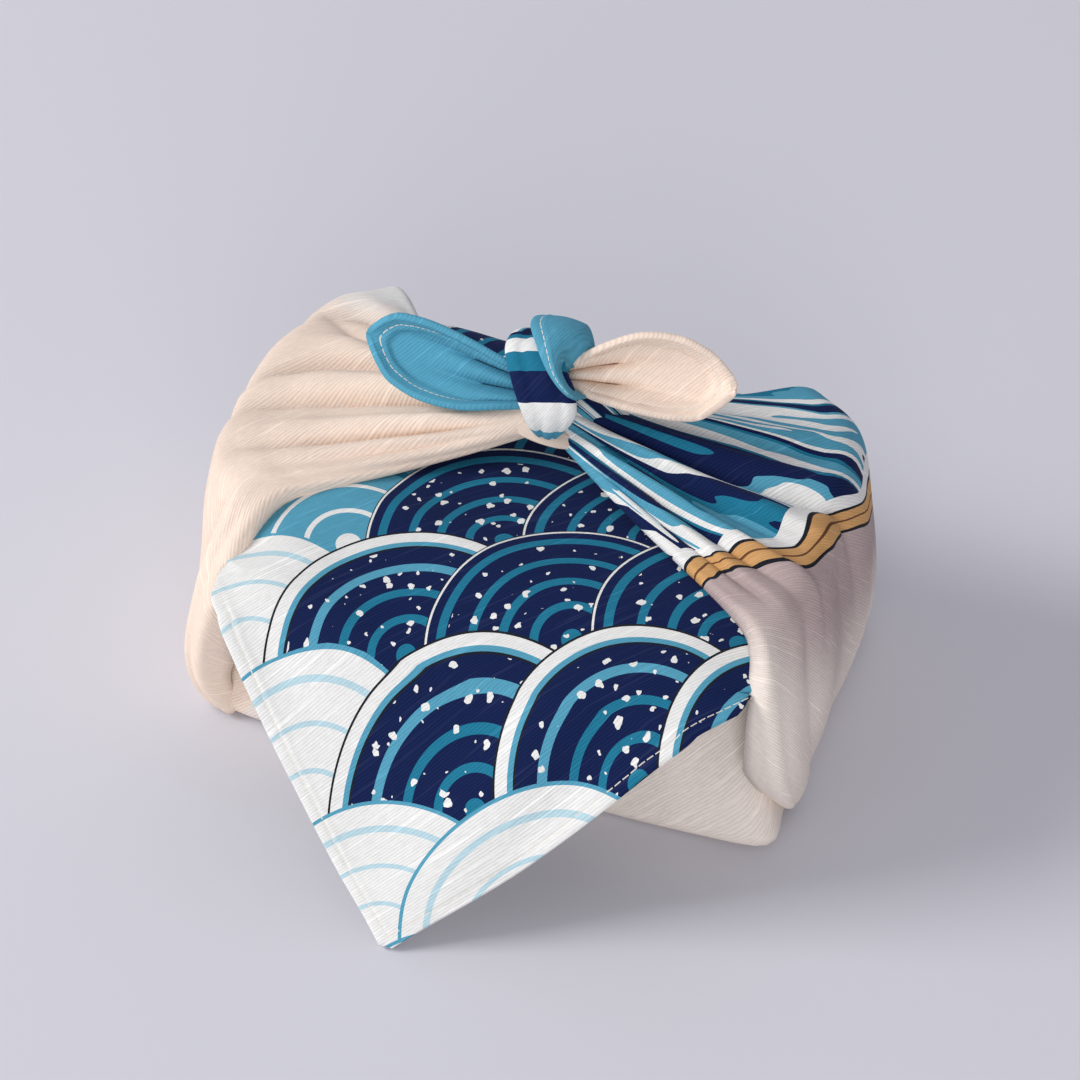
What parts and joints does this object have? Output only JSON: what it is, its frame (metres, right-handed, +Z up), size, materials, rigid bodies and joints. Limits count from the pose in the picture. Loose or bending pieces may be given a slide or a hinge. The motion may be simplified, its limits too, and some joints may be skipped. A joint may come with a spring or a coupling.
{
  "type": "knotted furoshiki wrap",
  "caption": "Square cloth wrapped round a box-shaped space and knotted on top, with two ears and a pointed flap hanging in front.",
  "frame": {"origin": "on the surface the wrap stands on, under its knot, at the middle of its underside", "axes": "+Z up, +X along the long side towards the right-hand ear, -Y towards the pointed flap in front"},
  "size_m": [0.1948, 0.1956, 0.1174],
  "materials": {
    "slub_cotton": "matt printed slub cotton"
  },
  "bodies": {
    "root": {"furoshiki_cloth": "slub_cotton"}
  },
  "joints": []
}
